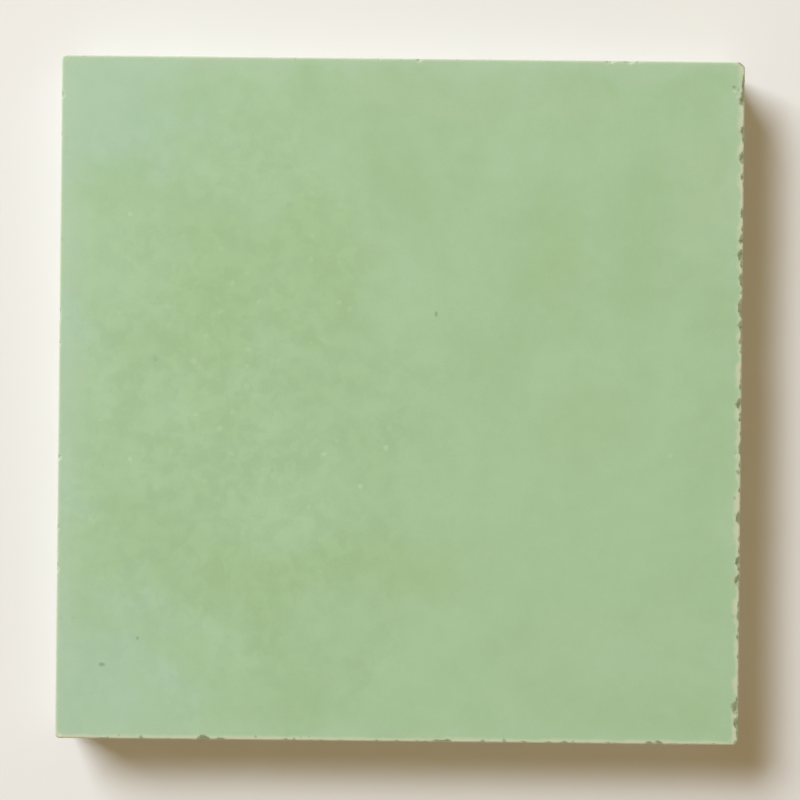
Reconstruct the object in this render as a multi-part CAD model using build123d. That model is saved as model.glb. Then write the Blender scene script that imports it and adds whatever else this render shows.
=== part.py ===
from build123d import *
import math
import os

# Square cement tile, pressed as one piece in a square frame.
# It lies on its back: +Z points out of the face, and the origin is the middle of the back.
# All sizes are in millimetres.

# Slab
SIDE = 200.0            # side of the square face, across the arrises
THICKNESS = 16.0        # back to face
SIDE_LEAN = 0.5         # how far each side leans in on its way down from the face to the back
CORNER_RADIUS = 1.2     # upright corners, seen from above
ARRIS_BEVEL = 0.35      # worn arris round the face
BACK_BEVEL = 0.8        # blunter edge round the back

# Flakes knocked off the face's arrises. Each row is one flake:
# place along the side, length along the arris, reach over the face, reach down the side.
# The right and left sides run from front to rear, the front and rear sides from left to right.
# A place counts from the side's first corner, or from its last corner where it is negative.
FLAKES = {
    "right": [
        (3.0, 4.8, 0.7, 1.1),
        (6.5, 4.2, 1.5, 1.4),
        (16.5, 2.6, 0.6, 0.8),
        (38.0, 4.4, 0.8, 1.3),
        (57.0, 2.8, 0.7, 0.9),
        (87.0, 5.2, 0.9, 1.5),
        (-72.0, 7.0, 1.4, 2.2),
        (-64.6, 3.2, 0.9, 1.1),
        (-59.4, 2.6, 0.9, 0.9),
        (-52.0, 3.4, 1.2, 1.2),
        (-22.6, 2.6, 0.8, 0.8),
        (-9.6, 3.6, 1.3, 0.8),
        (-7.0, 4.0, 1.2, 1.0),
    ],
    "front": [
        (14.0, 3.0, 0.6, 0.9),
        (43.4, 4.4, 1.3, 1.5),
        (49.0, 2.6, 0.7, 0.8),
        (-88.0, 3.6, 0.8, 1.1),
        (-51.0, 3.2, 0.7, 1.0),
        (-26.0, 3.0, 0.9, 1.0),
    ],
    "left": [
        (50.0, 3.8, 0.9, 1.2),
        (-76.0, 5.2, 0.7, 1.5),
    ],
    "rear": [
        (62.0, 5.2, 0.6, 1.4),
        (-34.0, 3.6, 1.0, 1.2),
    ],
}

# Corners knocked off the face: reach along X, along Y and down from the corner.
CORNER_KNOCKS = {
    "right_rear": (2.3, 2.1, 2.4),
    "right_front": (1.5, 2.3, 2.6),
}
CORNER_HOLLOW = 4.0     # half the chord that a corner's hollow would cut through the corner point

# Each side as seen from above: middle of the arris, way along it, way outwards
SIDES = {
    "right": (Vector(SIDE / 2, 0, THICKNESS), Vector(0, 1, 0), Vector(1, 0, 0)),
    "front": (Vector(0, -SIDE / 2, THICKNESS), Vector(1, 0, 0), Vector(0, -1, 0)),
    "left": (Vector(-SIDE / 2, 0, THICKNESS), Vector(0, 1, 0), Vector(-1, 0, 0)),
    "rear": (Vector(0, SIDE / 2, THICKNESS), Vector(1, 0, 0), Vector(0, 1, 0)),
}

# Each corner: which way out it lies in X and in Y
CORNERS = {
    "right_rear": (1, 1),
    "right_front": (1, -1),
}

UP = Vector(0, 0, 1)


def make_slab():
    """The pressed slab: a square block whose sides lean in on their way down from the face."""
    slab = Box(SIDE, SIDE, THICKNESS, align=(Align.CENTER, Align.CENTER, Align.MIN))
    lean = math.degrees(math.atan2(SIDE_LEAN, THICKNESS))
    sides = slab.faces().filter_by(Axis.Z, reverse=True)
    slab = draft(sides, Plane.XY.offset(THICKNESS), -lean)
    upright_edges = slab.edges().group_by(Axis.Z)[1]
    slab = fillet(upright_edges, CORNER_RADIUS)
    slab = chamfer(slab.faces().sort_by(Axis.Z)[-1].edges(), ARRIS_BEVEL)
    return chamfer(slab.faces().sort_by(Axis.Z)[0].edges(), BACK_BEVEL)


def stand_off(chord, reach):
    """Distance out to the centre of a ball that cuts a line of this half chord to this reach."""
    return (chord ** 2 - reach ** 2) / (2 * reach)


def hollow(point, chord, centre_offset):
    """The ball that leaves a shell-shaped hollow, whose half chord through the point is given."""
    radius = math.sqrt(centre_offset.length ** 2 + chord ** 2)
    return Pos(point + centre_offset) * Sphere(radius)


def make_flakes():
    """One ball for each flake, cutting its length, its reach over the face and its reach down."""
    balls = []
    for side, rows in FLAKES.items():
        middle, along, outwards = SIDES[side]
        for place, length, over_face, down_side in rows:
            from_middle = place - SIDE / 2 if place >= 0 else place + SIDE / 2
            chord = length / 2
            offset = outwards * stand_off(chord, over_face) + UP * stand_off(chord, down_side)
            balls.append(hollow(middle + along * from_middle, chord, offset))
    return balls


def make_corner_knocks():
    """One ball for each corner that is knocked off."""
    balls = []
    for corner, (over_x, over_y, down) in CORNER_KNOCKS.items():
        way_x, way_y = CORNERS[corner]
        point = Vector(way_x * SIDE / 2, way_y * SIDE / 2, THICKNESS)
        offset = Vector(
            way_x * stand_off(CORNER_HOLLOW, over_x),
            way_y * stand_off(CORNER_HOLLOW, over_y),
            stand_off(CORNER_HOLLOW, down),
        )
        balls.append(hollow(point, CORNER_HOLLOW, offset))
    return balls


tile = make_slab() - make_flakes() - make_corner_knocks()

os.makedirs("parts", exist_ok=True)
export_step(tile, "parts/tile.step")
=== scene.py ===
import math

import bpy
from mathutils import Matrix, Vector


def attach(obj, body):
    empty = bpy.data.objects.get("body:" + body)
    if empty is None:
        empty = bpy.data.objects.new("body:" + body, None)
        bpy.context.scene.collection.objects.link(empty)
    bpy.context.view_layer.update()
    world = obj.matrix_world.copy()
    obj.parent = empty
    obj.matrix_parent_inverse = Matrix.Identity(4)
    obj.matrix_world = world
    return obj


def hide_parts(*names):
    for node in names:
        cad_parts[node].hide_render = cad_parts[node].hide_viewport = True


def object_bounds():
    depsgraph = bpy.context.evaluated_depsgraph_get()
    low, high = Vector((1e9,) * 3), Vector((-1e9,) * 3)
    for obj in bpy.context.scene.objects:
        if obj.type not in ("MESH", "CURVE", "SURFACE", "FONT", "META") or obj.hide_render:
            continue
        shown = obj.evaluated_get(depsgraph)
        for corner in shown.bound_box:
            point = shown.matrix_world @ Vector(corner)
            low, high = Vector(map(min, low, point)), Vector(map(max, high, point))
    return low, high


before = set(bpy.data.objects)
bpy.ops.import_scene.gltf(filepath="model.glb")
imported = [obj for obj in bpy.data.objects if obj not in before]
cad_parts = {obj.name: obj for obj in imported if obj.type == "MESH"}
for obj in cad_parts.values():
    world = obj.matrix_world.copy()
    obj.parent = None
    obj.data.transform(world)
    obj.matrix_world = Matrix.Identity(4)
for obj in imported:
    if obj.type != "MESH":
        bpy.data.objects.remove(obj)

CAD_LOW, CAD_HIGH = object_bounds()

# A square pressed-cement tile with a pigmented face, lying face up on a cream floor.
# Sizes are in metres, apart from those that end in MM or whose heading says millimetres.
MM = 0.001

# Slab, whose box comes from the frame
HALF_SIDE = (CAD_HIGH.x - CAD_LOW.x) / 2
THICKNESS = CAD_HIGH.z - CAD_LOW.z
FACE_LEVEL = CAD_HIGH.z
SIDE_LEAN = 0.5 * MM            # how far each side leans in on its way down to the back
CORNER_RADIUS = 1.2 * MM
ARRIS_OVER = 0.5 * MM           # the worn arris is an elliptic round: its reach over the face
ARRIS_DOWN = 1.0 * MM           # and its reach down the side
BACK_BEVEL = 0.8 * MM

# Mesh rows of the slab. Each face or back row is its inset in millimetres and how many times
# fewer columns it has than the arris.
ARRIS_COLUMNS = 480             # along each side
FACE_ROWS_MM = ((12.0, 8), (8.0, 4), (5.0, 2), (3.6, 1), (2.8, 1), (2.1, 1), (1.5, 1), (1.0, 1), (0.72, 1))
ARRIS_STEPS = 5
SIDE_STEPS = 20
SIDE_CROWDING = 1.5             # above 1, the side's rows crowd towards the face
BEVEL_STEPS = 3
BACK_ROWS_MM = ((2.0, 1), (2.8, 1), (3.8, 1), (5.5, 2), (8.5, 4), (12.5, 8))

# Flakes knocked off the face's arrises, in millimetres: place along the side, length along the arris,
# reach over the face, reach down the side. The right and left sides run from front to rear, the others
# from left to right. A place counts from the side's first corner, or from its last where it is negative.
FLAKES_MM = {
    "right": (
        (3.0, 4.8, 0.7, 1.1),
        (6.5, 4.2, 1.5, 1.4),
        (16.5, 2.6, 0.6, 0.8),
        (38.0, 4.4, 0.8, 1.3),
        (57.0, 2.8, 0.7, 0.9),
        (87.0, 5.2, 0.9, 1.5),
        (-72.0, 7.0, 1.4, 2.2),
        (-64.6, 3.2, 0.9, 1.1),
        (-59.4, 2.6, 0.9, 0.9),
        (-52.0, 3.4, 1.2, 1.2),
        (-22.6, 2.6, 0.8, 0.8),
        (-9.6, 3.6, 1.3, 0.8),
        (-7.0, 4.0, 1.2, 1.0),
    ),
    "front": (
        (14.0, 3.0, 0.6, 0.9),
        (43.4, 4.4, 1.3, 1.5),
        (49.0, 2.6, 0.7, 0.8),
        (-88.0, 3.6, 0.8, 1.1),
        (-51.0, 3.2, 0.7, 1.0),
        (-26.0, 3.0, 0.9, 1.0),
    ),
    "left": (
        (50.0, 3.8, 0.9, 1.2),
        (-76.0, 5.2, 0.7, 1.5),
    ),
    "rear": (
        (62.0, 5.2, 0.6, 1.4),
        (-34.0, 3.6, 1.0, 1.2),
    ),
}
CORNER_KNOCKS_MM = {(1, 1): (2.3, 2.1, 2.4), (1, -1): (1.5, 2.3, 2.6)}
CORNER_HOLLOW = 4.0 * MM

# Each side: way along it, way outwards
SIDES = {
    "right": (Vector((0, 1, 0)), Vector((1, 0, 0))),
    "front": (Vector((1, 0, 0)), Vector((0, -1, 0))),
    "left": (Vector((0, 1, 0)), Vector((-1, 0, 0))),
    "rear": (Vector((1, 0, 0)), Vector((0, 1, 0))),
}
UP = Vector((0, 0, 1))

# Nibbles along the arrises: the rule's sizes, for each set of them. The right side is the most worn one.
NIBBLE_SETS = {
    "large_nibbles": {
        "Up": UP, "Spacing": 7.0 * MM, "Jitter": 3.0 * MM,
        "Shortest": 1.8 * MM, "Longest": 5.0 * MM, "Keep Worn": 0.85, "Keep Sound": 0.3, "Seed": 3,
    },
    "small_nibbles": {
        "Up": UP, "Spacing": 2.6 * MM, "Jitter": 1.0 * MM,
        "Shortest": 0.9 * MM, "Longest": 2.4 * MM, "Keep Worn": 0.9, "Keep Sound": 0.6, "Seed": 11,
    },
    "back_nibbles": {
        "Up": -UP, "Spacing": 6.5 * MM, "Jitter": 1.2 * MM,
        "Shortest": 1.6 * MM, "Longest": 4.0 * MM, "Keep Worn": 0.7, "Keep Sound": 0.7, "Seed": 23,
    },
}
WEAR_WAY = Vector((1.0, -0.35, 0))  # wear of a side, by its way outwards
NIBBLE_LENGTHS = (0.65, 1.0)        # factor of the lengths on a sound side and on a worn one
NIBBLE_CORNER_MARGIN = 2.4 * MM
NIBBLE_OVER = (0.24, 0.42)      # reach over the face, as a share of the nibble's length
NIBBLE_DOWN = (0.2, 0.38)       # reach down the side, as a share of the nibble's length
FLAKE_RAGGED = 0.4 * MM         # how far a flake's hollow strays from a true ball
FLAKE_GRAIN = 1.1 * MM
FLAKE_FRESH = 0.12 * MM         # from this depth on, a cut shows as broken
BRUISE_WIDTH = 0.8 * MM         # pale rim round a flake
FACE_WAVE = 0.05 * MM
FACE_WAVE_SIZE = 28.0 * MM
SIDE_WAVE = 0.14 * MM
SIDE_WAVE_SIZE = 2.6 * MM
SHARP_ANGLE = math.radians(38)
FACE_MATERIAL_DEPTH = 1.2 * MM  # below this depth a mesh face has the sides' finish
UNDERSIDE_TILT = -0.5           # a mesh face that looks further down has the back's finish


def srgb(red, green, blue):
    """A colour as it is read off a screen, 0 to 255, in the linear form that a socket takes."""
    def linear(level):
        share = level / 255
        return share / 12.92 if share <= 0.04045 else ((share + 0.055) / 1.055) ** 2.4

    return (linear(red), linear(green), linear(blue), 1.0)


# Pigmented facing
GREEN_DEEP = srgb(162, 191, 145)
GREEN_PALE = srgb(169, 197, 155)
GREEN_YELLOWED = srgb(161, 189, 139)
GREEN_BLUED = srgb(172, 198, 171)
GREEN_ROSY = srgb(174, 194, 155)
# Pale bloom along the rim: its own tone, with painted light added on the sides towards the key lamp
RIM_BLOOM_AND_LIGHT = srgb(179, 201, 171)
WORN_ARRIS = srgb(203, 205, 173)
CRUMB_PALE = srgb(228, 230, 206)
# Broken green: the broken cement's greyer tone, darkened further as painted shade of the flakes' hollows
BROKEN_GREEN_AND_SHADE = srgb(156, 173, 138)
# The pinhole colour is painted shade: the dark of small holes and pits that the mesh does not have; it also
# gives the dark flecks
PINHOLE = srgb(112, 134, 98)
PALE_SPECK = srgb(202, 217, 192)

# Soft patches and small marks of the face, in millimetres: middle along X and Y, reach along X and Y
YELLOWED_PATCHES_MM = (
    (-24, 40, 26, 36),
    (-58, 26, 24, 44),
    (-42, -52, 28, 18),
    (4, -50, 28, 12),
    (54, -6, 18, 24),
    (45, 42, 12, 24),
)
BLUED_PATCHES_MM = ((-86, 86, 40, 32), (-88, -82, 42, 34), (-103, 10, 16, 95))
ROSY_PATCHES_MM = ((62, -76, 36, 22), (20, 90, 50, 12), (90, 62, 16, 36))
PALE_PATCHES_MM = ((64, -44, 62, 84),)
CURDLED_PATCH_MM = (-52, -6, 72, 110)
PINHOLES_MM = ((10.3, 25.3, 0.6, 1.1), (-86.4, -78.2, 1.2, 0.7), (-76.0, -70.4, 0.6, 0.7))
PALE_SPECKS_MM = (
    (-79.5, 53.5, 1.2, 1.0),
    (-78.9, -18.0, 1.0, 1.2),
    (-22.0, -16.0, 1.5, 0.9),
    (-11.3, -25.3, 1.1, 1.0),
    (-4.0, -14.0, 0.9, 1.1),
    (79.3, -15.5, 1.4, 1.1),
)
# At the right rear corner: dark dots of painted shade in the chips' hollows, and pale crumbs that are
# partly painted highlight on the chips
CRUMB_PIT_SHADES_MM = ((96.7, 92.5, 0.8, 0.6), (98.1, 91.7, 0.6, 1.1))
CRUMBS_AND_HIGHLIGHTS_MM = ((97.0, 91.2, 0.9, 0.6), (98.0, 89.6, 1.1, 0.7))
PATCH_DOWN_MM = 30.0            # how far a soft patch reaches down from the face
MARK_DOWN_MM = 2.0              # and a small mark
CURDLED_DOWN_MM = 60.0          # and the curdled patch

# Each set of patches or marks: its tint, the share of it at their middles, their reach down
TINTED_PATCHES = (
    (YELLOWED_PATCHES_MM, GREEN_YELLOWED, 0.6, PATCH_DOWN_MM),
    (ROSY_PATCHES_MM, GREEN_ROSY, 0.4, PATCH_DOWN_MM),
    (PALE_PATCHES_MM, GREEN_PALE, 0.5, PATCH_DOWN_MM),
    (BLUED_PATCHES_MM, GREEN_BLUED, 0.65, PATCH_DOWN_MM),
    (PINHOLES_MM, PINHOLE, 0.55, MARK_DOWN_MM),
    (PALE_SPECKS_MM, PALE_SPECK, 0.4, MARK_DOWN_MM),
    (CRUMB_PIT_SHADES_MM, PINHOLE, 0.6, MARK_DOWN_MM),
    (CRUMBS_AND_HIGHLIGHTS_MM, PALE_SPECK, 0.6, MARK_DOWN_MM),
)

# Specks, in millimetres: spacing, radii, how far their outlines stray from a circle, and the share
# of their places that hold one. The mortar gives the sand its spacing and the pores their share.
FLECKS = {"Spacing": 3.8, "Smallest": 0.4, "Largest": 1.3, "Ruffle": 1.0, "Share": 0.3}
ARRIS_CRUMBS = {"Spacing": 2.2, "Smallest": 0.4, "Largest": 1.0, "Ruffle": 0.5, "Share": 0.6}
SAND = {"Smallest": 0.12, "Largest": 0.5, "Ruffle": 0.2, "Share": 0.7}
PORES = {"Spacing": 2.8, "Smallest": 0.15, "Largest": 0.6, "Ruffle": 0.4}
SPECK_FULL = 0.45               # share of a speck's radius that has its full colour

# Sizes and strengths of the facing's finish.
# Levels are those of a noise between which one look turns into the other.
CLOUD_SIZE_MM = 24.0
CLOUD_LEVELS = (0.3, 0.7)
CURDLE_SIZE_MM = 5.0
CURDLING_LEVELS = (0.36, 0.64)
CURDLING_SHADE = (0.016, 0.072)  # outside and inside the curdled patch
WANDER_SIZE_MM = 13.0           # how the outlines of patches wander
PATCH_WANDER = 1.6
PATCH_FADE = (1.05, 0.15)       # where a patch begins and where it is full, as shares of its reach
GRAIN_SIZE_MM = 0.55
GRAIN_SHADE = 0.08
FLECK_DRAWS = (0.08, 0.16)      # draws below the first give a dark fleck, above the second a pale one
FLECK_SHARES = (0.03, 0.18)     # outside and inside the curdled patch
# The bloom is painted lighter on the left and rear sides, which face the key lamp: painted light over its
# own pale tone
BLOOM_WIDTH_MM = 10.0
BLOOM_AND_LIGHT_SHARES = (0.25, 0.5)      # at the right and front sides, at the left and rear sides
BLOOM_TURN_MM = (-80.0, 40.0)   # where the bloom goes from the one to the other
BLOOM_WANDER = (-0.2, 0.2)      # the wander that makes the bloom narrowest and widest
BLOOM_SWELL = (0.35, 1.5)       # factor of its width there
WORN_SIDE_MM = (95.0, 99.0)     # how far from the middle a side's own wear begins
WORN_LINE_MM = 1.3              # width of the worn line on the left and rear sides
WORN_FRONT_MM = 1.8             # on the front side
WORN_RIGHT_MM = 2.5             # on the right side
WORN_WANDER = (0.2, 0.55)       # how much the width wanders, on the other sides and on the right one
WORN_LEVELS = (0.3, 0.7)
WORN_FULL = 0.3                 # share of the width that is fully worn
WORN_SHARES = (0.4, 0.9)        # on the left and rear sides, on the front and right ones
WORN_WHERE_BROKEN = 0.25        # what is left of the line in a flake
WORN_CORNER_MM = 3.0
WORN_PATCH_MM = 4.6
WORN_DOWN = 5.0                 # how many times less far the line reaches down the side than inwards
BRUISE_SHARE = 0.9
CRUMB_DRAWS = (0.4, 0.6)        # as for flecks
CRUMB_SHARE = 0.7
BROKEN_AND_SHADE_SHARE = 0.7
BROKEN_RELIEF = (0.5, 4.5)      # of the grain, on a sound face and on a broken one

# Mortar body, under the facing
FACING_DEPTH_MM = 4.2
FACING_WANDER_MM = 4.5          # how far its lower end wanders
FACING_FRAY_MM = 1.8
FRAY_SIZE_MM = 1.8
FRAY_SHADE = 0.3
FACING_FADE_MM = (-0.3, 0.8)    # from above its end to below it, how softly the facing ends
SANDY_FROM_TO_MM = (2.5, 6.0)   # depths between which the sides turn sandy
RUN_SIZE_MM = 7.0
RUN_STRETCH = (1.0, 1.0, 0.3)   # runs of slurry are long down the side
RUN_LEVELS = (0.5, 0.7)
RUN_SHARE = 0.4
MORTAR_CLOUD_MM = 9.0
MORTAR_LEVELS = (0.32, 0.68)
SIDE_MORTAR = {"Sand Spacing": 1.0, "Pore Share": 0.3}
BACK_MORTAR = {"Sand Spacing": 1.2, "Pore Share": 0.45}
SAND_DRAWS = (0.3, 0.6)         # as for flecks
SAND_SHARE = 0.6
PORE_DEPTH = 2.5                # against the height of a grain of sand and of the clouds
BEDDING_GRAIN_MM = 0.6
MORTAR_DARK = srgb(168, 164, 151)
MORTAR_PALE = srgb(194, 189, 175)
SAND_PALE = srgb(214, 207, 189)
SAND_DARK = srgb(132, 127, 115)
# The pores' dark colour is painted shade inside them, on top of their relief
MORTAR_PORE_SHADE = srgb(98, 94, 84)

# Matt cement: roughness, strength of the relief, its height
FACE_CEMENT = (0.78, 0.55, 0.12 * MM)
SIDE_CEMENT = (0.84, 0.55, 0.15 * MM)
BACK_CEMENT = (0.88, 0.8, 0.2 * MM)
CEMENT_SPECULAR = 0.3

# Room
FLOOR_COLOUR = srgb(236, 232, 225)
BACKDROP_COLOUR = srgb(239, 235, 227)
FLOOR_ROUGHNESS = 0.9
FLOOR_SPECULAR = 0.1
FLOOR_HALF = 8.0
FLOOR_FADE_MM = (200.0, 750.0)  # how far from the tile's middle it turns into the backdrop

# Lamps, with the way to each in degrees: from +X round the tile, and above the floor
KEY_LAMP = {
    "azimuth": 135.0, "elevation": 33.0, "distance": 4.0, "width": 2.5, "height": 1.75,
    "watts": 228.0, "colour": (0.91, 1.005, 1.14),
}
LOW_LAMP = {
    "azimuth": -45.0, "elevation": 3.2, "distance": 3.0, "width": 2.6, "height": 0.3,
    "watts": 38.0, "colour": (0.98, 0.99, 1.0),
}
WORLD_COLOUR = (1.0, 0.735, 0.35, 1.0)
WORLD_STRENGTH = 0.30

# Camera
CAMERA_LENS_MM = 75.0
CAMERA_SENSOR_MM = 36.0
PICTURE_WIDTH_PX = 800
TILE_WIDTH_PX = 684
CAMERA_ROLL = math.radians(0.6)


def node(tree, kind, inputs=None, **settings):
    """Adds a node, sets its options, and fills its inputs with values or links."""
    made = tree.nodes.new(kind)
    for name, value in settings.items():
        setattr(made, name, value)
    for key, value in (inputs or {}).items():
        if isinstance(value, bpy.types.NodeSocket):
            tree.links.new(value, made.inputs[key])
        else:
            made.inputs[key].default_value = value
    return made


def calc(tree, operation, *values):
    """One step of arithmetic on numbers."""
    return node(tree, "ShaderNodeMath", dict(enumerate(values)), operation=operation).outputs[0]


def times(tree, *factors):
    """The product of two or more numbers."""
    product = factors[0]
    for factor in factors[1:]:
        product = calc(tree, "MULTIPLY", product, factor)
    return product


def vector_calc(tree, operation, *values):
    """One step of arithmetic on vectors."""
    made = node(tree, "ShaderNodeVectorMath", dict(enumerate(values)), operation=operation)
    number = operation in ("DOT_PRODUCT", "LENGTH")
    return made.outputs["Value" if number else "Vector"]


def scaled(tree, vector, amount):
    """A vector times a number."""
    made = node(tree, "ShaderNodeVectorMath", {0: vector, "Scale": amount}, operation="SCALE")
    return made.outputs["Vector"]


def parts_of(tree, vector):
    """A vector's X, Y and Z."""
    return node(tree, "ShaderNodeSeparateXYZ", {0: vector}).outputs


def ramp(tree, value, low, high, at_low=0.0, at_high=1.0):
    """A smooth step as the value goes from low to high."""
    given = {"Value": value, "From Min": low, "From Max": high, "To Min": at_low, "To Max": at_high}
    return node(tree, "ShaderNodeMapRange", given, interpolation_type="SMOOTHSTEP").outputs["Result"]


def from_to(tree, share, low, high):
    """A number that goes from low to high as the share goes from nought to one."""
    return calc(tree, "MULTIPLY_ADD", share, high - low, low)


def noise(tree, vector, size, detail=3.0, roughness=0.55, distortion=0.0, output="Fac"):
    """Cloud noise with features of this size, in the vector's own unit."""
    scale = calc(tree, "DIVIDE", 1.0, size)
    given = {
        "Vector": vector, "Scale": scale, "Detail": detail,
        "Roughness": roughness, "Distortion": distortion,
    }
    return node(tree, "ShaderNodeTexNoise", given).outputs[output]


def swing(tree, vector, size, **settings):
    """Cloud noise that swings about nought."""
    return calc(tree, "SUBTRACT", noise(tree, vector, size, **settings), 0.5)


def mix(tree, share, first, second):
    """Two colours mixed by a share. The sockets for colours are 6, 7 and the output 2."""
    made = node(tree, "ShaderNodeMix", {0: share, 6: first, 7: second}, data_type="RGBA")
    return made.outputs[2]


def new_group(name, kind, inputs, outputs):
    """An empty node group with named sockets, and its inputs and outputs as they show inside."""
    tree = bpy.data.node_groups.new(name, kind)
    for in_out, sockets in (("INPUT", inputs), ("OUTPUT", outputs)):
        for label, kind_of_value in sockets.items():
            tree.interface.new_socket(label, in_out=in_out, socket_type="NodeSocket" + kind_of_value)
    entry = tree.nodes.new("NodeGroupInput")
    leave = tree.nodes.new("NodeGroupOutput")
    return tree, entry.outputs, leave.inputs


def give(tree, result, **values):
    """Links what a group has worked out to its outputs."""
    for name, value in values.items():
        tree.links.new(value, result[name])


def use_group(tree, group, inputs):
    """Places a node group and returns its outputs."""
    kind = "GeometryNodeGroup" if tree.bl_idname == "GeometryNodeTree" else "ShaderNodeGroup"
    return node(tree, kind, inputs, node_tree=group).outputs


def add_object(name, data):
    """A new object in the scene."""
    made = bpy.data.objects.new(name, data)
    bpy.context.scene.collection.objects.link(made)
    return made


# Slab mesh


def ring_points(half, corner, height, columns):
    """One level rounded square, counter-clockwise from its left front corner."""
    points = []
    core = half - corner
    for side in range(4):
        for column in range(columns):
            along = half * (2 * column / columns - 1)
            x, y = ((along, -half), (half, along), (-along, half), (-half, -along))[side]
            near = Vector((max(-core, min(core, x)), max(-core, min(core, y))))
            spot = near + (Vector((x, y)) - near).normalized() * corner
            points.append((spot.x, spot.y, height))
    return points


def lean_at(depth):
    """How far a side has leant in at this depth below the face."""
    return SIDE_LEAN * depth / THICKNESS


def slab_rows():
    """The slab's rows from the face to the back: inset from the outline, depth, columns along a side."""
    rows = [(inset * MM, 0.0, ARRIS_COLUMNS // fewer) for inset, fewer in FACE_ROWS_MM]
    for step in range(ARRIS_STEPS):
        angle = math.pi / 2 * step / ARRIS_STEPS
        inset = ARRIS_OVER * (1 - math.sin(angle))
        rows.append((inset, ARRIS_DOWN * (1 - math.cos(angle)), ARRIS_COLUMNS))
    side_end = THICKNESS - BACK_BEVEL
    for step in range(SIDE_STEPS + 1):
        depth = ARRIS_DOWN + (side_end - ARRIS_DOWN) * (step / SIDE_STEPS) ** SIDE_CROWDING
        rows.append((lean_at(depth), depth, ARRIS_COLUMNS))
    for step in range(1, BEVEL_STEPS + 1):
        cut = BACK_BEVEL * step / BEVEL_STEPS
        rows.append((SIDE_LEAN + cut, side_end + cut, ARRIS_COLUMNS))
    rows += [(inset * MM, THICKNESS, ARRIS_COLUMNS // fewer) for inset, fewer in BACK_ROWS_MM]
    return rows


def band(first, first_count, second, second_count):
    """Faces between two rings. Where one has twice the points, a fan goes out from each point between."""
    faces = []
    count = min(first_count, second_count)
    first_step = first_count // count
    second_step = second_count // count
    for i in range(count):
        upper = [first + (i * first_step + k) % first_count for k in range(first_step + 1)]
        lower = [second + (i * second_step + k) % second_count for k in range(second_step + 1)]
        outline = upper[:1] + lower + upper[:0:-1]
        if first_step == second_step:
            faces.append(outline)
            continue
        middle = upper[1] if first_step > second_step else lower[1]
        ends = zip(outline, outline[1:] + outline[:1])
        faces += [[middle, *pair] for pair in ends if middle not in pair]
    return faces


def cap(points, start, columns, half, height, looks_up):
    """Closes the square inside a ring with an even grid, adding the grid's inner points."""
    inner = len(points)
    step = 2 * half / columns
    for row in range(1, columns):
        for column in range(1, columns):
            points.append((column * step - half, row * step - half, height))

    def index(column, row):
        if row == 0:
            return start + column
        if column == columns:
            return start + columns + row
        if row == columns:
            return start + 3 * columns - column
        if column == 0:
            return start + 4 * columns - row
        return inner + (row - 1) * (columns - 1) + column - 1

    faces = []
    for row in range(columns):
        for column in range(columns):
            near = [index(column, row), index(column + 1, row)]
            face = near + [index(column + 1, row + 1), index(column, row + 1)]
            faces.append(face if looks_up else face[::-1])
    return faces


def make_slab():
    """The plain slab, with close columns along its arrises and a wide grid on its face and back."""
    rows = slab_rows()
    points = []
    starts = []
    for inset, depth, columns in rows:
        starts.append(len(points))
        corner = max(CORNER_RADIUS - (inset - lean_at(depth)), 0.0)
        points += ring_points(HALF_SIDE - inset, corner, FACE_LEVEL - depth, columns)
    faces = []
    for k in range(len(rows) - 1):
        faces += band(starts[k], 4 * rows[k][2], starts[k + 1], 4 * rows[k + 1][2])
    for row, looks_up in ((0, True), (len(rows) - 1, False)):
        inset, depth, columns = rows[row]
        faces += cap(points, starts[row], columns, HALF_SIDE - inset, FACE_LEVEL - depth, looks_up)
    mesh = bpy.data.meshes.new("slab")
    mesh.from_pydata(points, [], faces)
    return mesh


# Flakes placed one by one


def stand_off(chord, reach):
    """Distance out to the centre of a ball that cuts a line of this half chord to this reach."""
    return (chord ** 2 - reach ** 2) / (2 * reach)


def placed_flakes():
    """Each placed flake: its point on the arris, the way to its ball's centre, half chord, way inwards."""
    flakes = []
    for side, rows in FLAKES_MM.items():
        along, outwards = SIDES[side]
        for row in rows:
            place, length, over_face, down_side = (value * MM for value in row)
            from_middle = place - HALF_SIDE if place >= 0 else place + HALF_SIDE
            point = along * from_middle + outwards * HALF_SIDE + UP * FACE_LEVEL
            chord = length / 2
            offset = outwards * stand_off(chord, over_face) + UP * stand_off(chord, down_side)
            flakes.append((point, offset, chord, -(outwards + UP).normalized()))
    for (way_x, way_y), row in CORNER_KNOCKS_MM.items():
        over_x, over_y, down = (stand_off(CORNER_HOLLOW, value * MM) for value in row)
        point = Vector((way_x * HALF_SIDE, way_y * HALF_SIDE, FACE_LEVEL))
        offset = Vector((way_x * over_x, way_y * over_y, down))
        flakes.append((point, offset, CORNER_HOLLOW, -Vector((way_x, way_y, 1)).normalized()))
    return flakes


def add_attribute(mesh, name, data_type, field, values):
    """Puts one named value on each of a mesh's points."""
    data = mesh.attributes.new(name, data_type, "POINT").data
    for point, value in zip(data, values):
        setattr(point, field, value)


def make_flake_marks():
    """Loose points that carry the placed flakes' balls, for the tile's tree to read."""
    points, offsets, chords, ways = zip(*placed_flakes())
    centres = [point + offset for point, offset in zip(points, offsets)]
    radii = [math.hypot(offset.length, chord) for offset, chord in zip(offsets, chords)]
    mesh = bpy.data.meshes.new("flake_marks")
    mesh.from_pydata(points, [], [])
    add_attribute(mesh, "ball_centre", "FLOAT_VECTOR", "vector", centres)
    add_attribute(mesh, "ball_radius", "FLOAT", "value", radii)
    add_attribute(mesh, "inwards", "FLOAT_VECTOR", "vector", ways)
    return add_object("flake_marks", mesh)


# Geometry trees of the tile


def named(tree, name, data_type):
    """An attribute of the geometry, read by its name."""
    made = node(tree, "GeometryNodeInputNamedAttribute", {"Name": name}, data_type=data_type)
    return made.outputs["Attribute"]


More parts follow.
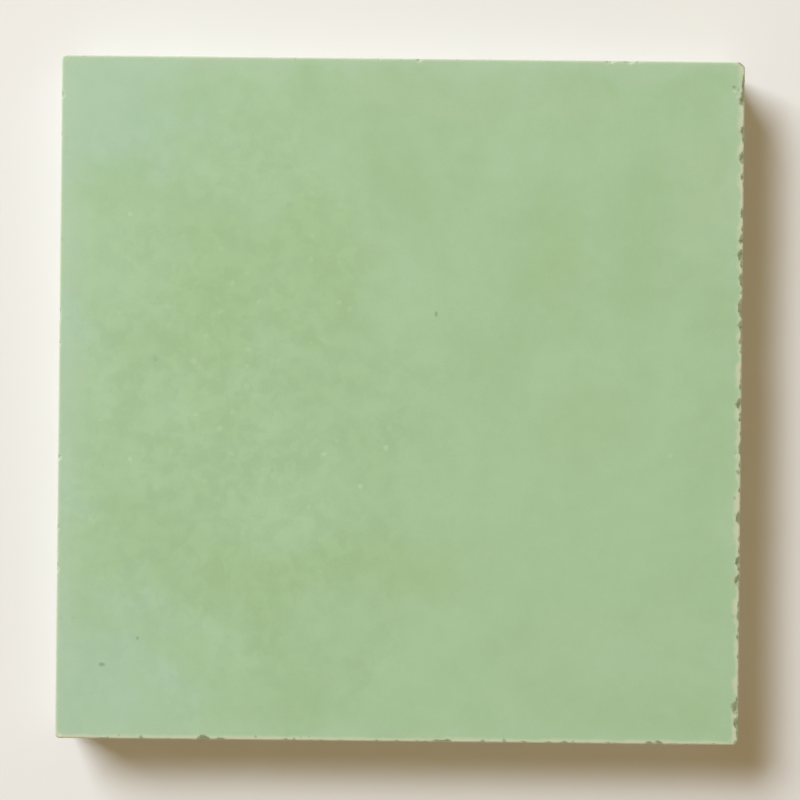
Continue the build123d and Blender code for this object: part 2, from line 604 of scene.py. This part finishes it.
def store(tree, geometry, name, data_type, value):
    """Geometry with one more named attribute on its points."""
    given = {"Geometry": geometry, "Name": name, "Value": value}
    made = node(tree, "GeometryNodeStoreNamedAttribute", given, data_type=data_type, domain="POINT")
    return made.outputs[0]


def between(tree, low, high, seed):
    """A random number for each point. The sockets for numbers are 2, 3 and the output 1."""
    made = node(tree, "FunctionNodeRandomValue", {2: low, 3: high, "Seed": seed}, data_type="FLOAT")
    return made.outputs[1]


def make_nibble_group():
    """Geometry group: balls that nibble an arris all round the tile, at random along it."""
    tree, given, result = new_group("arris_nibbles", "GeometryNodeTree", {
        "Side": "Float", "Height": "Float", "Up": "Vector", "Spacing": "Float", "Jitter": "Float",
        "Shortest": "Float", "Longest": "Float", "Keep Worn": "Float", "Keep Sound": "Float", "Seed": "Int",
    }, {"Flakes": "Geometry"})
    seeds = [calc(tree, "ADD", given["Seed"], float(k)) for k in range(5)]
    half = times(tree, given["Side"], 0.5)

    outline = node(tree, "GeometryNodeCurvePrimitiveQuadrilateral",
                   {"Width": given["Side"], "Height": given["Side"]}).outputs[0]
    lift = node(tree, "ShaderNodeCombineXYZ", {"Z": given["Height"]}).outputs[0]
    raised = node(tree, "GeometryNodeTransform", {"Geometry": outline, "Translation": lift}).outputs[0]
    spaced = node(tree, "GeometryNodeResampleCurve",
                  {"Curve": raised, "Length": given["Spacing"]}, mode="LENGTH").outputs[0]
    points = node(tree, "GeometryNodeCurveToPoints", {"Curve": spaced}, mode="EVALUATED").outputs["Points"]

    place = node(tree, "GeometryNodeInputPosition").outputs[0]
    parts = parts_of(tree, place)
    wide = calc(tree, "ABSOLUTE", parts["X"])
    deep = calc(tree, "ABSOLUTE", parts["Y"])
    on_right_or_left = calc(tree, "GREATER_THAN", wide, deep)
    on_front_or_rear = calc(tree, "SUBTRACT", 1.0, on_right_or_left)
    out_x = times(tree, calc(tree, "SIGN", parts["X"]), on_right_or_left)
    out_y = times(tree, calc(tree, "SIGN", parts["Y"]), on_front_or_rear)
    points = store(tree, points, "outwards", "FLOAT_VECTOR",
                   node(tree, "ShaderNodeCombineXYZ", {"X": out_x, "Y": out_y}).outputs[0])
    outwards = named(tree, "outwards", "FLOAT_VECTOR")

    from_corner = calc(tree, "SUBTRACT", half, calc(tree, "MINIMUM", wide, deep))
    at_corner = calc(tree, "LESS_THAN", from_corner, NIBBLE_CORNER_MARGIN)
    worn = calc(tree, "MAXIMUM", vector_calc(tree, "DOT_PRODUCT", outwards, WEAR_WAY), 0.0)
    more = calc(tree, "SUBTRACT", given["Keep Worn"], given["Keep Sound"])
    keep = calc(tree, "ADD", given["Keep Sound"], times(tree, worn, more))
    dropped = calc(tree, "GREATER_THAN", between(tree, 0.0, 1.0, seeds[0]), keep)
    points = node(tree, "GeometryNodeDeleteGeometry",
                  {"Geometry": points, "Selection": calc(tree, "MAXIMUM", at_corner, dropped)}).outputs[0]

    along = vector_calc(tree, "CROSS_PRODUCT", UP, outwards)
    slide = times(tree, between(tree, -1.0, 1.0, seeds[1]), given["Jitter"])
    points = node(tree, "GeometryNodeSetPosition",
                  {"Geometry": points, "Offset": scaled(tree, along, slide)}).outputs[0]

    draw = between(tree, 0.0, 1.0, seeds[2])
    gain = calc(tree, "SUBTRACT", given["Longest"], given["Shortest"])
    length = calc(tree, "MULTIPLY_ADD", times(tree, draw, draw), gain, given["Shortest"])
    length = times(tree, length, from_to(tree, worn, *NIBBLE_LENGTHS))
    chord = times(tree, length, 0.5)
    chord_squared = times(tree, chord, chord)

    def stand_off_of(share):
        reach = times(tree, length, share)
        spare = calc(tree, "SUBTRACT", chord_squared, times(tree, reach, reach))
        return calc(tree, "DIVIDE", spare, times(tree, reach, 2.0))

    out = scaled(tree, outwards, stand_off_of(between(tree, *NIBBLE_OVER, seeds[3])))
    up = scaled(tree, given["Up"], stand_off_of(between(tree, *NIBBLE_DOWN, seeds[4])))
    offset = vector_calc(tree, "ADD", out, up)
    reach_squared = vector_calc(tree, "DOT_PRODUCT", offset, offset)
    radius = calc(tree, "SQRT", calc(tree, "ADD", reach_squared, chord_squared))
    diagonal = vector_calc(tree, "NORMALIZE", vector_calc(tree, "ADD", outwards, given["Up"]))
    points = store(tree, points, "ball_centre", "FLOAT_VECTOR", vector_calc(tree, "ADD", place, offset))
    points = store(tree, points, "ball_radius", "FLOAT", radius)
    points = store(tree, points, "inwards", "FLOAT_VECTOR", scaled(tree, diagonal, -1.0))
    give(tree, result, Flakes=points)
    return tree


def make_cut_group():
    """Geometry group: moves each point that lies in its nearest flake's ball inwards, onto the ball."""
    tree, given, result = new_group("cut_flakes", "GeometryNodeTree", {
        "Mesh": "Geometry", "Flakes": "Geometry", "Ragged": "Float", "Grain": "Float",
    }, {"Mesh": "Geometry"})
    place = node(tree, "GeometryNodeInputPosition").outputs[0]
    nearest = node(tree, "GeometryNodeSampleNearest",
                   {"Geometry": given["Flakes"], "Sample Position": place}, domain="POINT").outputs["Index"]

    def of_nearest(name, data_type):
        asked = {"Geometry": given["Flakes"], "Value": named(tree, name, data_type), "Index": nearest}
        return node(tree, "GeometryNodeSampleIndex", asked, data_type=data_type, domain="POINT").outputs[0]

    stray = times(tree, swing(tree, place, given["Grain"], detail=2.0), 2.0, given["Ragged"])
    radius = calc(tree, "ADD", of_nearest("ball_radius", "FLOAT"), stray)
    inwards = of_nearest("inwards", "FLOAT_VECTOR")
    from_centre = vector_calc(tree, "SUBTRACT", place, of_nearest("ball_centre", "FLOAT_VECTOR"))

    # Where the line inwards leaves the ball
    along = vector_calc(tree, "DOT_PRODUCT", from_centre, inwards)
    distance_squared = vector_calc(tree, "DOT_PRODUCT", from_centre, from_centre)
    inside = calc(tree, "SUBTRACT", times(tree, radius, radius), distance_squared)
    root = calc(tree, "SQRT", calc(tree, "MAXIMUM", calc(tree, "MULTIPLY_ADD", along, along, inside), 0.0))
    depth = calc(tree, "SUBTRACT", root, along)
    cut = times(tree, depth, calc(tree, "GREATER_THAN", inside, 0.0))

    fresh = ramp(tree, cut, 0.0, FLAKE_FRESH)
    broken = calc(tree, "MAXIMUM", named(tree, "broken", "FLOAT"), fresh)
    mesh = store(tree, given["Mesh"], "broken", "FLOAT", broken)
    outside = calc(tree, "SUBTRACT", calc(tree, "SQRT", distance_squared), radius)
    bruised = calc(tree, "MAXIMUM", named(tree, "bruised", "FLOAT"), ramp(tree, outside, BRUISE_WIDTH, 0.0))
    mesh = store(tree, mesh, "bruised", "FLOAT", bruised)
    mesh = node(tree, "GeometryNodeSetPosition",
                {"Geometry": mesh, "Offset": scaled(tree, inwards, cut)}).outputs[0]
    give(tree, result, Mesh=mesh)
    return tree


def make_tile_tree(face, sides, bedding):
    """Geometry tree of the whole tile: waves the slab, cuts its flakes and nibbles, sets its finishes."""
    tree, given, result = new_group("pressed_tile", "GeometryNodeTree", {
        "Slab": "Geometry", "Flake Marks": "Object", "Side": "Float", "Face Level": "Float",
        "Face Wave": "Float", "Side Wave": "Float", "Ragged": "Float", "Grain": "Float",
    }, {"Tile": "Geometry"})
    nibbles = make_nibble_group()
    cut = make_cut_group()

    # Slow waves over the face and back, fine ones down the sides
    place = node(tree, "GeometryNodeInputPosition").outputs[0]
    normal = node(tree, "GeometryNodeInputNormal").outputs["Normal"]
    tilt = parts_of(tree, normal)["Z"]
    flat = calc(tree, "ABSOLUTE", tilt)
    steep = calc(tree, "SUBTRACT", 1.0, flat)
    slow = times(tree, swing(tree, place, FACE_WAVE_SIZE, detail=1.0), flat, given["Face Wave"])
    fine = times(tree, swing(tree, place, SIDE_WAVE_SIZE, detail=3.0), steep, given["Side Wave"])
    wave = scaled(tree, normal, calc(tree, "ADD", slow, fine))
    mesh = node(tree, "GeometryNodeSetPosition", {"Geometry": given["Slab"], "Offset": wave}).outputs[0]

    marks = node(tree, "GeometryNodeObjectInfo", {"Object": given["Flake Marks"]}).outputs["Geometry"]
    ragged = {"Ragged": given["Ragged"], "Grain": given["Grain"]}
    mesh = use_group(tree, cut, {"Mesh": mesh, "Flakes": marks, **ragged})["Mesh"]
    for values in NIBBLE_SETS.values():
        height = given["Face Level"] if values["Up"].z > 0 else 0.0
        flakes = use_group(tree, nibbles, {"Side": given["Side"], "Height": height, **values})["Flakes"]
        mesh = use_group(tree, cut, {"Mesh": mesh, "Flakes": flakes, **ragged})["Mesh"]

    angle = node(tree, "GeometryNodeInputMeshEdgeAngle").outputs["Unsigned Angle"]
    gentle = calc(tree, "LESS_THAN", angle, SHARP_ANGLE)
    mesh = node(tree, "GeometryNodeSetShadeSmooth", {"Geometry": mesh}, domain="FACE").outputs[0]
    mesh = node(tree, "GeometryNodeSetShadeSmooth", {"Geometry": mesh, "Shade Smooth": gentle},
                domain="EDGE").outputs[0]

    mesh = node(tree, "GeometryNodeRealizeInstances", {"Geometry": mesh}).outputs[0]
    face_end = calc(tree, "SUBTRACT", given["Face Level"], FACE_MATERIAL_DEPTH)
    low = calc(tree, "LESS_THAN", parts_of(tree, place)["Z"], face_end)
    under = calc(tree, "LESS_THAN", tilt, UNDERSIDE_TILT)
    for chosen, material in ((True, face), (low, sides), (under, bedding)):
        finish = {"Geometry": mesh, "Selection": chosen, "Material": material}
        mesh = node(tree, "GeometryNodeSetMaterial", finish).outputs[0]
    give(tree, result, Tile=mesh)
    return tree


def make_tile(face, sides, bedding):
    """The tile as one plain mesh."""
    marks = make_flake_marks()
    slab = add_object("slab", make_slab())
    tree = make_tile_tree(face, sides, bedding)
    modifier = slab.modifiers.new("pressed_tile", "NODES")
    modifier.node_group = tree
    values = {
        "Flake Marks": marks, "Side": 2 * HALF_SIDE, "Face Level": FACE_LEVEL,
        "Face Wave": FACE_WAVE, "Side Wave": SIDE_WAVE, "Ragged": FLAKE_RAGGED, "Grain": FLAKE_GRAIN,
    }
    for item in tree.interface.items_tree:
        if item.in_out == "INPUT" and item.name in values:
            modifier[item.identifier] = values[item.name]
    slab.update_tag()
    shaped = slab.evaluated_get(bpy.context.evaluated_depsgraph_get())
    tile = add_object("cement_tile", bpy.data.meshes.new_from_object(shaped))
    tile.data.name = "cement_tile"
    for helper in (slab, marks):
        mesh = helper.data
        bpy.data.objects.remove(helper)
        bpy.data.meshes.remove(mesh)
    return tile


# Finishes


def make_cloud_group():
    """Shader group: the soft clouds of a pigment that cured unevenly, and the fine curdling in them."""
    tree, given, result = new_group("pigment_clouds", "ShaderNodeTree", {
        "Vector": "Vector", "Cloud Size": "Float", "Curdle Size": "Float",
    }, {"Clouds": "Float", "Curdling": "Float"})
    clouds = noise(tree, given["Vector"], given["Cloud Size"], detail=4.0, roughness=0.6)
    curdling = noise(tree, given["Vector"], given["Curdle Size"], detail=2.0, roughness=0.6, distortion=0.4)
    clouds = ramp(tree, clouds, *CLOUD_LEVELS)
    curdling = ramp(tree, curdling, *CURDLING_LEVELS, -0.5, 0.5)
    give(tree, result, Clouds=clouds, Curdling=curdling)
    return tree


def make_patch_group():
    """Shader group: one soft patch, whose outline wanders as it is told."""
    tree, given, result = new_group("soft_patch", "ShaderNodeTree", {
        "Vector": "Vector", "Middle": "Vector", "Reach": "Vector", "Wander": "Float",
    }, {"Patch": "Float"})
    away = vector_calc(tree, "SUBTRACT", given["Vector"], given["Middle"])
    away = vector_calc(tree, "LENGTH", vector_calc(tree, "DIVIDE", away, given["Reach"]))
    give(tree, result, Patch=ramp(tree, calc(tree, "ADD", away, given["Wander"]), *PATCH_FADE))
    return tree


def make_rim_group():
    """Shader group: the pale bloom inside the tile's outline, and the worn line along its arris."""
    tree, given, result = new_group("rim_wear", "ShaderNodeTree", {
        "Vector": "Vector", "Half Side": "Float", "Face Level": "Float", "Wander": "Float",
        "Bloom Width": "Float", "Line Width": "Float", "Line Wander": "Float", "Worn Corner": "Float",
    }, {"Bloom": "Float", "Line": "Float", "Depth": "Float"})
    parts = parts_of(tree, given["Vector"])
    reach = calc(tree, "MAXIMUM", calc(tree, "ABSOLUTE", parts["X"]), calc(tree, "ABSOLUTE", parts["Y"]))
    inset = calc(tree, "MAXIMUM", calc(tree, "SUBTRACT", given["Half Side"], reach), 0.0)
    swell = ramp(tree, given["Wander"], *BLOOM_WANDER, *BLOOM_SWELL)
    bloom = ramp(tree, inset, times(tree, given["Bloom Width"], swell), 0.0)

    # The line follows an outline with rounder corners
    flat = vector_calc(tree, "MULTIPLY", given["Vector"], (1, 1, 0))
    flat = vector_calc(tree, "ABSOLUTE", flat)
    core = calc(tree, "SUBTRACT", given["Half Side"], given["Worn Corner"])
    past_core = vector_calc(tree, "MAXIMUM", vector_calc(tree, "SUBTRACT", flat, core), (0, 0, 0))
    inwards = calc(tree, "SUBTRACT", given["Worn Corner"], vector_calc(tree, "LENGTH", past_core))
    inwards = calc(tree, "MAXIMUM", inwards, 0.0)
    depth = calc(tree, "MAXIMUM", calc(tree, "SUBTRACT", given["Face Level"], parts["Z"]), 0.0)
    down = times(tree, depth, WORN_DOWN)
    down_squared = times(tree, down, down)
    from_arris = calc(tree, "SQRT", calc(tree, "MULTIPLY_ADD", inwards, inwards, down_squared))
    patchy = noise(tree, given["Vector"], WORN_PATCH_MM, detail=2.0)
    patchy = ramp(tree, patchy, *WORN_LEVELS, -1.0, 1.0)
    patchy = calc(tree, "MULTIPLY_ADD", patchy, given["Line Wander"], 1.0)
    width = times(tree, given["Line Width"], patchy)
    line = ramp(tree, from_arris, width, times(tree, width, WORN_FULL))
    give(tree, result, Bloom=bloom, Line=line, Depth=depth)
    return tree


def make_speck_group():
    """Shader group: sparse specks with ruffled outlines, each of its own size and with its own draw."""
    tree, given, result = new_group("specks", "ShaderNodeTree", {
        "Vector": "Vector", "Spacing": "Float", "Smallest": "Float", "Largest": "Float",
        "Ruffle": "Float", "Share": "Float",
    }, {"Specks": "Float", "Draw": "Float"})
    swirl = noise(tree, given["Vector"], given["Largest"], detail=1.0, roughness=0.5, output="Color")
    swirl = scaled(tree, vector_calc(tree, "SUBTRACT", swirl, (0.5, 0.5, 0.5)), given["Ruffle"])
    ruffled = vector_calc(tree, "MULTIPLY_ADD", swirl, (2, 2, 2), given["Vector"])
    scale = calc(tree, "DIVIDE", 1.0, given["Spacing"])
    cells = node(tree, "ShaderNodeTexVoronoi", {"Vector": ruffled, "Scale": scale}).outputs
    draws = node(tree, "ShaderNodeSeparateColor", {0: cells["Color"]}).outputs
    away = times(tree, cells["Distance"], given["Spacing"])
    spread = calc(tree, "SUBTRACT", given["Largest"], given["Smallest"])
    radius = calc(tree, "MULTIPLY_ADD", draws["Green"], spread, given["Smallest"])
    chosen = calc(tree, "LESS_THAN", draws["Red"], given["Share"])
    dot = ramp(tree, away, radius, times(tree, radius, SPECK_FULL))
    give(tree, result, Specks=times(tree, dot, chosen), Draw=draws["Blue"])
    return tree


def make_mortar_group(specks):
    """Shader group: sandy grey mortar, with pale and dark sand and open pores."""
    tree, given, result = new_group("sandy_mortar", "ShaderNodeTree", {
        "Vector": "Vector", "Sand Spacing": "Float", "Pore Share": "Float",
    }, {"Color": "Color", "Height": "Float"})
    cloud = noise(tree, given["Vector"], MORTAR_CLOUD_MM, detail=4.0, roughness=0.62)
    colour = mix(tree, ramp(tree, cloud, *MORTAR_LEVELS), MORTAR_DARK, MORTAR_PALE)
    sand_places = {"Vector": given["Vector"], "Spacing": given["Sand Spacing"]}
    pore_places = {"Vector": given["Vector"], "Share": given["Pore Share"]}
    sand = use_group(tree, specks, {**sand_places, **SAND})
    pores = use_group(tree, specks, {**pore_places, **PORES})["Specks"]
    grains = mix(tree, ramp(tree, sand["Draw"], *SAND_DRAWS), SAND_DARK, SAND_PALE)
    colour = mix(tree, times(tree, sand["Specks"], SAND_SHARE), colour, grains)
    # Painted shade: the pores are darkened as well as sunk in the relief
    colour = mix(tree, pores, colour, MORTAR_PORE_SHADE)
    height = calc(tree, "MULTIPLY_ADD", sand["Specks"], SAND_SHARE, cloud)
    height = calc(tree, "MULTIPLY_ADD", pores, -PORE_DEPTH, height)
    give(tree, result, Color=colour, Height=height)
    return tree


def start_material(name):
    """A material with its tree, its shader and the object's own coordinates in millimetres."""
    material = bpy.data.materials.new(name)
    material.use_nodes = True
    tree = material.node_tree
    shader = tree.nodes["Principled BSDF"]
    place = node(tree, "ShaderNodeTexCoord").outputs["Object"]
    return material, tree, shader, scaled(tree, place, 1 / MM)


def finish_material(tree, shader, colour, relief, roughness, strength, height):
    """Joins colour and relief to a matt cement shader."""
    bump = node(tree, "ShaderNodeBump", {"Strength": strength, "Distance": height, "Height": relief})
    tree.links.new(colour, shader.inputs["Base Color"])
    tree.links.new(bump.outputs["Normal"], shader.inputs["Normal"])
    shader.inputs["Roughness"].default_value = roughness
    shader.inputs["Specular IOR Level"].default_value = CEMENT_SPECULAR


def make_facing_group(clouds, patch, rim, specks):
    """Shader group: the pigmented facing, with its clouds, patches, flecks, bloom and worn arris, and
    painted light and shade: a bloom lighter towards the key lamp, shade in flakes and small pits.
    """
    tree, given, result = new_group("pigmented_facing", "ShaderNodeTree", {
        "Vector": "Vector", "Broken": "Float", "Bruised": "Float",
    }, {"Color": "Color", "Relief": "Float", "Wander": "Float", "Depth": "Float"})
    place = given["Vector"]
    wander = swing(tree, place, WANDER_SIZE_MM, detail=2.0, roughness=0.6)
    patch_wander = times(tree, wander, PATCH_WANDER)

    def patch_mask(x, y, reach_x, reach_y, reach_down):
        return use_group(tree, patch, {
            "Vector": place, "Middle": (x, y, FACE_LEVEL / MM),
            "Reach": (reach_x, reach_y, reach_down), "Wander": patch_wander,
        })["Patch"]

    pigment = use_group(tree, clouds, {
        "Vector": place, "Cloud Size": CLOUD_SIZE_MM, "Curdle Size": CURDLE_SIZE_MM,
    })
    colour = mix(tree, pigment["Clouds"], GREEN_DEEP, GREEN_PALE)
    for patches, tint, share, reach_down in TINTED_PATCHES:
        for row in patches:
            tinted = times(tree, patch_mask(*row, reach_down), share)
            colour = mix(tree, tinted, colour, tint)

    on_right = ramp(tree, vector_calc(tree, "DOT_PRODUCT", place, (1, 0, 0)), *WORN_SIDE_MM)
    on_front = ramp(tree, vector_calc(tree, "DOT_PRODUCT", place, (0, -1, 0)), *WORN_SIDE_MM)
    right_width = from_to(tree, on_right, WORN_LINE_MM, WORN_RIGHT_MM)
    front_width = from_to(tree, on_front, WORN_LINE_MM, WORN_FRONT_MM)
    edge = use_group(tree, rim, {
        "Vector": place, "Half Side": HALF_SIDE / MM, "Face Level": FACE_LEVEL / MM, "Wander": wander,
        "Bloom Width": BLOOM_WIDTH_MM, "Line Width": calc(tree, "MAXIMUM", right_width, front_width),
        "Line Wander": from_to(tree, on_right, *WORN_WANDER), "Worn Corner": WORN_CORNER_MM,
    })
    # Painted light: the bloom's share grows towards the left and rear sides, which face the key lamp
    to_left_rear = vector_calc(tree, "DOT_PRODUCT", place, (-1, 1, 0))
    bloom_and_light_share = ramp(tree, to_left_rear, *BLOOM_TURN_MM, *BLOOM_AND_LIGHT_SHARES)
    colour = mix(tree, times(tree, edge["Bloom"], bloom_and_light_share), colour, RIM_BLOOM_AND_LIGHT)

    # Light and dark of the curdling and the grain, as a factor about one
    curdled = patch_mask(*CURDLED_PATCH_MM, CURDLED_DOWN_MM)
    grain = swing(tree, place, GRAIN_SIZE_MM, detail=1.0, roughness=0.7)
    curdling = times(tree, pigment["Curdling"], from_to(tree, curdled, *CURDLING_SHADE))
    shade = calc(tree, "ADD", curdling, calc(tree, "MULTIPLY_ADD", grain, GRAIN_SHADE, 1.0))
    colour = scaled(tree, colour, shade)

    flecks = use_group(tree, specks, {"Vector": place, **FLECKS})
    fleck_tint = mix(tree, ramp(tree, flecks["Draw"], *FLECK_DRAWS), PINHOLE, PALE_SPECK)
    fleck_share = times(tree, flecks["Specks"], from_to(tree, curdled, *FLECK_SHARES))
    colour = mix(tree, fleck_share, colour, fleck_tint)

    worn = calc(tree, "MAXIMUM", edge["Line"], times(tree, given["Bruised"], BRUISE_SHARE))
    worn = times(tree, worn, from_to(tree, given["Broken"], 1.0, WORN_WHERE_BROKEN))
    most_worn = calc(tree, "MAXIMUM", on_right, on_front)
    worn = times(tree, worn, from_to(tree, most_worn, *WORN_SHARES))
    # Flakes take the broken green, which is partly their own tone and partly painted shade in their hollows
    colour = mix(tree, times(tree, given["Broken"], BROKEN_AND_SHADE_SHARE), colour, BROKEN_GREEN_AND_SHADE)
    colour = mix(tree, worn, colour, WORN_ARRIS)
    # Crumbs along the worn line: pale ones, and dark ones that are painted shade in tiny hollows of the
    # arris
    crumbs = use_group(tree, specks, {"Vector": place, **ARRIS_CRUMBS})
    crumb_tint_and_pit_shade = mix(tree, ramp(tree, crumbs["Draw"], *CRUMB_DRAWS), PINHOLE, CRUMB_PALE)
    colour = mix(tree, times(tree, crumbs["Specks"], worn, CRUMB_SHARE), colour, crumb_tint_and_pit_shade)
    relief = times(tree, grain, from_to(tree, given["Broken"], *BROKEN_RELIEF))
    give(tree, result, Color=colour, Relief=relief, Wander=wander, Depth=edge["Depth"])
    return tree


def use_facing(tree, facing, place):
    """The pigmented facing, broken and bruised where the tile's mesh says so."""
    broken = node(tree, "ShaderNodeAttribute", attribute_name="broken").outputs["Fac"]
    bruised = node(tree, "ShaderNodeAttribute", attribute_name="bruised").outputs["Fac"]
    return use_group(tree, facing, {"Vector": place, "Broken": broken, "Bruised": bruised})


def make_face_material(groups):
    """Pigmented facing, as it shows on the face."""
    material, tree, shader, place = start_material("pigmented_face")
    facing = use_facing(tree, groups["facing"], place)
    finish_material(tree, shader, facing["Color"], facing["Relief"], *FACE_CEMENT)
    return material


def make_side_material(groups):
    """Pigmented facing on the upper sides, which ends in grey mortar along a wandering line."""
    material, tree, shader, place = start_material("pressed_sides")
    facing = use_facing(tree, groups["facing"], place)
    mortar = use_group(tree, groups["mortar"], {"Vector": place, **SIDE_MORTAR})
    fray = swing(tree, place, FRAY_SIZE_MM, detail=2.0)
    end = calc(tree, "MULTIPLY_ADD", facing["Wander"], FACING_WANDER_MM, FACING_DEPTH_MM)
    end = calc(tree, "MULTIPLY_ADD", fray, FACING_FRAY_MM, end)
    below = ramp(tree, calc(tree, "SUBTRACT", facing["Depth"], end), *FACING_FADE_MM)

    # Slurry that ran down over the mortar here and there
    stretched = vector_calc(tree, "MULTIPLY", place, RUN_STRETCH)
    runs = noise(tree, stretched, RUN_SIZE_MM, detail=3.0)
    bare = ramp(tree, runs, *RUN_LEVELS, 1.0, 1.0 - RUN_SHARE)
    rubbed = scaled(tree, facing["Color"], calc(tree, "MULTIPLY_ADD", fray, FRAY_SHADE, 1.0))
    colour = mix(tree, times(tree, below, bare), rubbed, mortar["Color"])
    sandy = times(tree, mortar["Height"], ramp(tree, facing["Depth"], *SANDY_FROM_TO_MM))
    relief = calc(tree, "ADD", sandy, facing["Relief"])
    finish_material(tree, shader, colour, relief, *SIDE_CEMENT)
    return material


def make_bedding_material(groups):
    """Sandy mortar of the back."""
    material, tree, shader, place = start_material("bedding_mortar")
    mortar = use_group(tree, groups["mortar"], {"Vector": place, **BACK_MORTAR})
    grain = noise(tree, place, BEDDING_GRAIN_MM, detail=2.0, roughness=0.7)
    relief = calc(tree, "ADD", mortar["Height"], grain)
    finish_material(tree, shader, mortar["Color"], relief, *BACK_CEMENT)
    return material


def make_groups():
    """The shader groups that the finishes share."""
    specks = make_speck_group()
    return {
        "facing": make_facing_group(make_cloud_group(), make_patch_group(), make_rim_group(), specks),
        "mortar": make_mortar_group(specks),
    }


# Room


def looked_at(tree):
    """One on rays that come from the camera, straight or by a reflection, and nought on the others."""
    rays = node(tree, "ShaderNodeLightPath").outputs
    mirrored = calc(tree, "MAXIMUM", rays["Is Glossy Ray"], rays["Is Transmission Ray"])
    return calc(tree, "MAXIMUM", rays["Is Camera Ray"], mirrored)


def make_floor():
    """A wide cream floor that runs out into the backdrop's colour far from the tile."""
    mesh = bpy.data.meshes.new("floor")
    corners = [(x * FLOOR_HALF, y * FLOOR_HALF, CAD_LOW.z) for x, y in ((-1, -1), (1, -1), (1, 1), (-1, 1))]
    mesh.from_pydata(corners, [], [(0, 1, 2, 3)])
    material, tree, shader, place = start_material("cream_floor")
    shader.inputs["Base Color"].default_value = FLOOR_COLOUR
    shader.inputs["Roughness"].default_value = FLOOR_ROUGHNESS
    shader.inputs["Specular IOR Level"].default_value = FLOOR_SPECULAR
    far = ramp(tree, vector_calc(tree, "LENGTH", place), *FLOOR_FADE_MM)
    seen = times(tree, far, looked_at(tree))
    glow = node(tree, "ShaderNodeEmission", {"Color": BACKDROP_COLOUR, "Strength": 1.0}).outputs[0]
    faded = node(tree, "ShaderNodeMixShader", {0: seen, 1: shader.outputs[0], 2: glow}).outputs[0]
    tree.links.new(faded, tree.nodes["Material Output"].inputs["Surface"])
    mesh.materials.append(material)
    return add_object("floor", mesh)


def make_world():
    """Warm soft light from all round, with the backdrop's colour where the camera looks."""
    world = bpy.data.worlds.new("room")
    bpy.context.scene.world = world
    world.use_nodes = True
    tree = world.node_tree
    light = tree.nodes["Background"]
    light.inputs["Color"].default_value = WORLD_COLOUR
    light.inputs["Strength"].default_value = WORLD_STRENGTH
    backdrop = node(tree, "ShaderNodeBackground", {"Color": BACKDROP_COLOUR, "Strength": 1.0}).outputs[0]
    shares = {0: looked_at(tree), 1: light.outputs[0], 2: backdrop}
    shown = node(tree, "ShaderNodeMixShader", shares).outputs[0]
    tree.links.new(shown, tree.nodes["World Output"].inputs["Surface"])


def make_lamp(name, azimuth, elevation, distance, width, height, watts, colour):
    """A soft rectangular lamp that faces the tile."""
    lamp = bpy.data.lights.new(name, "AREA")
    lamp.shape = "RECTANGLE"
    lamp.size = width
    lamp.size_y = height
    lamp.energy = watts
    lamp.color = colour
    turn = math.radians(azimuth)
    rise = math.radians(elevation)
    way = Vector((math.cos(turn) * math.cos(rise), math.sin(turn) * math.cos(rise), math.sin(rise)))
    holder = add_object(name, lamp)
    holder.location = way * distance
    holder.rotation_euler = way.to_track_quat("Z", "Y").to_euler()


def make_camera():
    """Straight above the tile, at the distance that gives it its width in the picture."""
    camera = bpy.data.cameras.new("camera")
    camera.lens = CAMERA_LENS_MM
    camera.sensor_width = CAMERA_SENSOR_MM
    view_width = 2 * HALF_SIDE * PICTURE_WIDTH_PX / TILE_WIDTH_PX
    distance = view_width * CAMERA_LENS_MM / CAMERA_SENSOR_MM
    holder = add_object("camera", camera)
    holder.location = (0, 0, FACE_LEVEL + distance)
    holder.rotation_euler = (0, 0, CAMERA_ROLL)
    bpy.context.scene.camera = holder


groups = make_groups()
tile = make_tile(make_face_material(groups), make_side_material(groups), make_bedding_material(groups))
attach(tile, "root")
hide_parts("tile")

make_floor()
make_world()
make_lamp("key_lamp", **KEY_LAMP)
make_lamp("low_lamp", **LOW_LAMP)
make_camera()
bpy.context.scene.view_settings.view_transform = "Standard"
